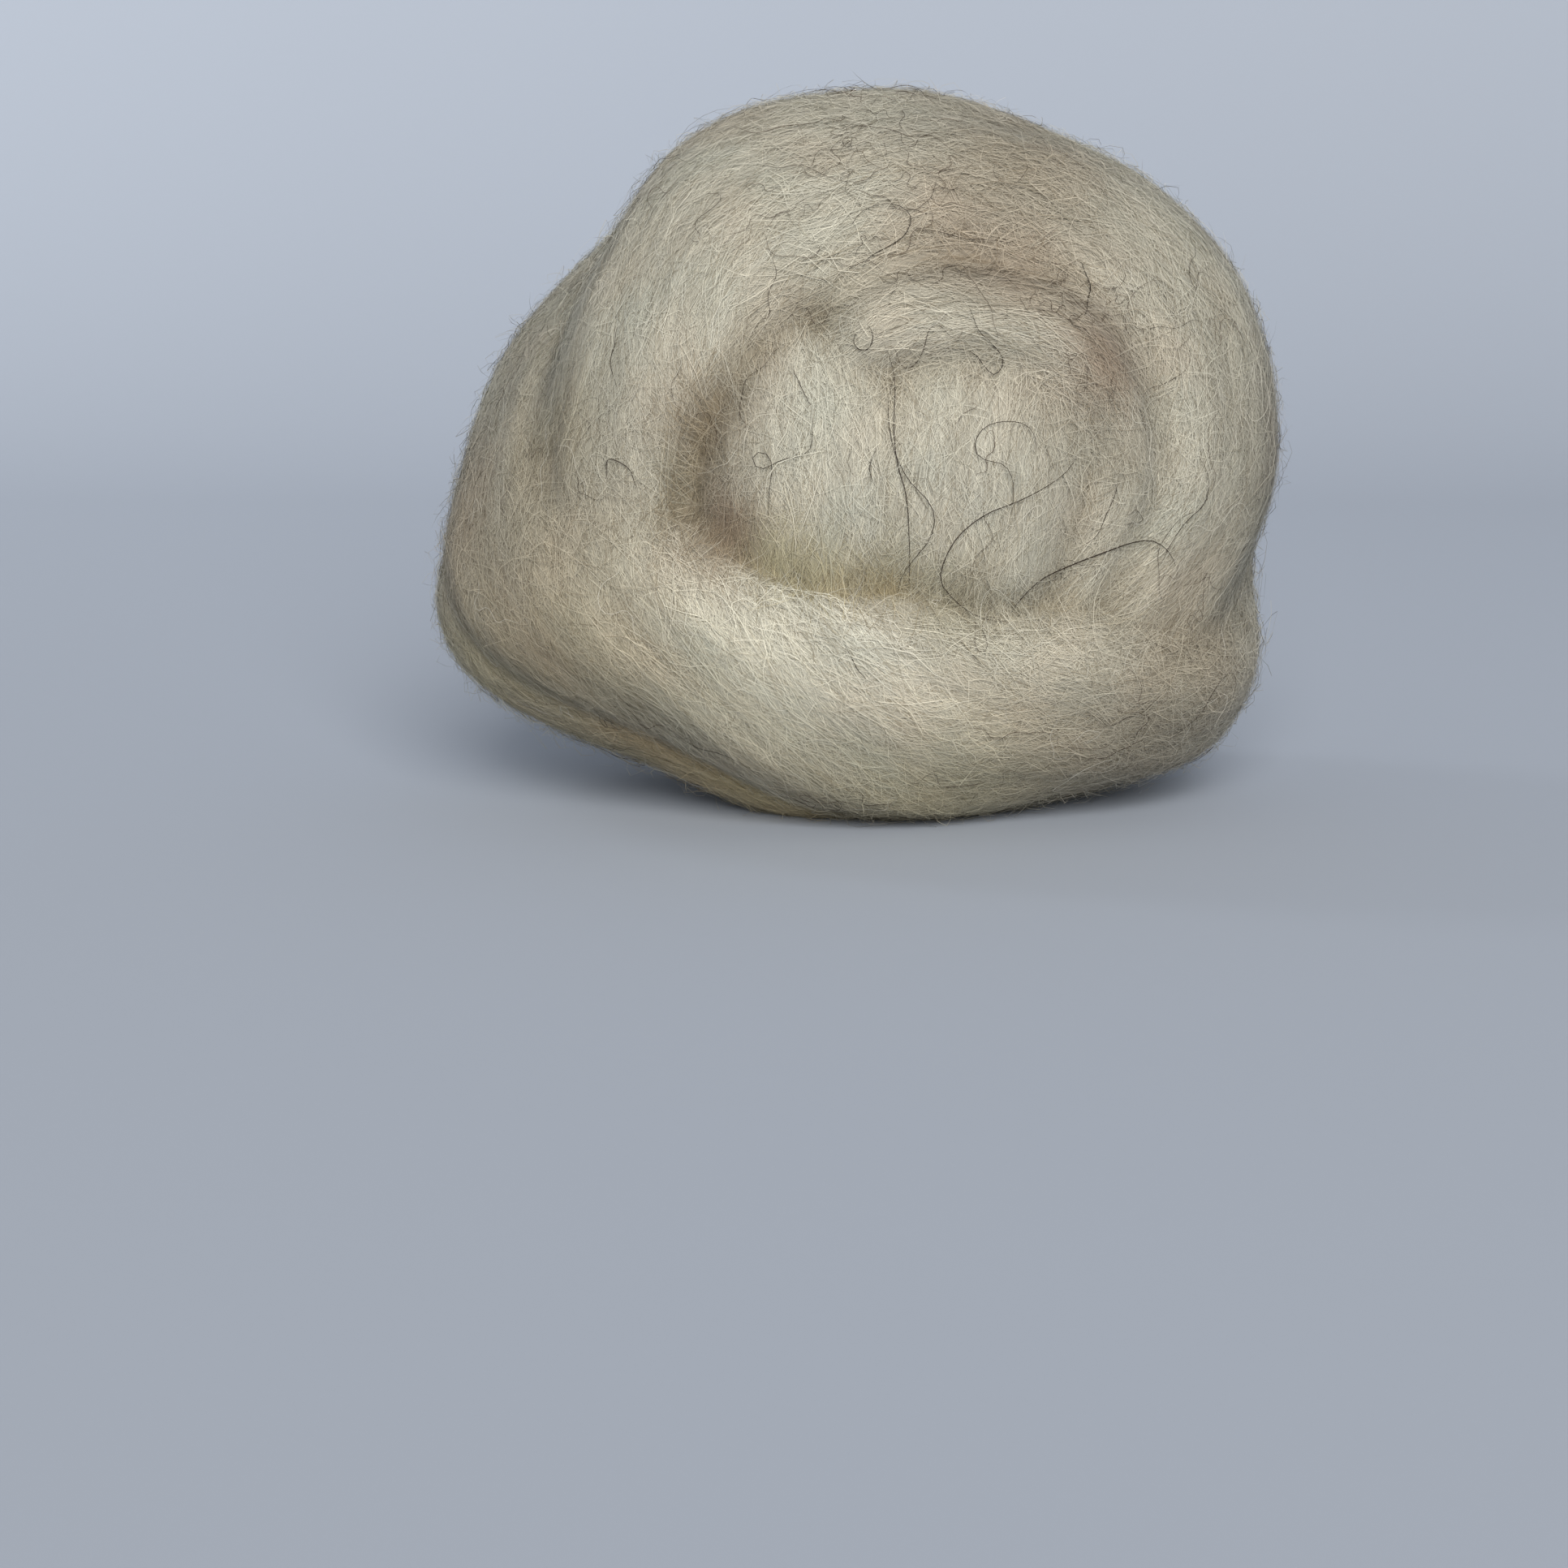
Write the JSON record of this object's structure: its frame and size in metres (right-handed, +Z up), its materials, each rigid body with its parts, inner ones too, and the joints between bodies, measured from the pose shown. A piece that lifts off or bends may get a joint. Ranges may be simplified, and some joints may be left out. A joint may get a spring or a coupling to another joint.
{
  "type": "ball of wool roving",
  "caption": "Loosely wound ball of soft natural wool roving, opening at the front on its tucked centre, with a broad band across below it and a small flat spot to rest on.",
  "frame": {"origin": "centre of the ball's outer box, on the flat spot that it rests on, at z = 0", "axes": "+Z up, -Y the front where the opening shows, +X to the right seen from the front, along the widest size"},
  "size_m": [0.0978, 0.086, 0.082],
  "materials": {
    "wool": "matte loose carded wool, oatmeal grey-beige with scattered dark hairs"
  },
  "bodies": {
    "root": {"roving_ball": "wool"}
  },
  "joints": []
}
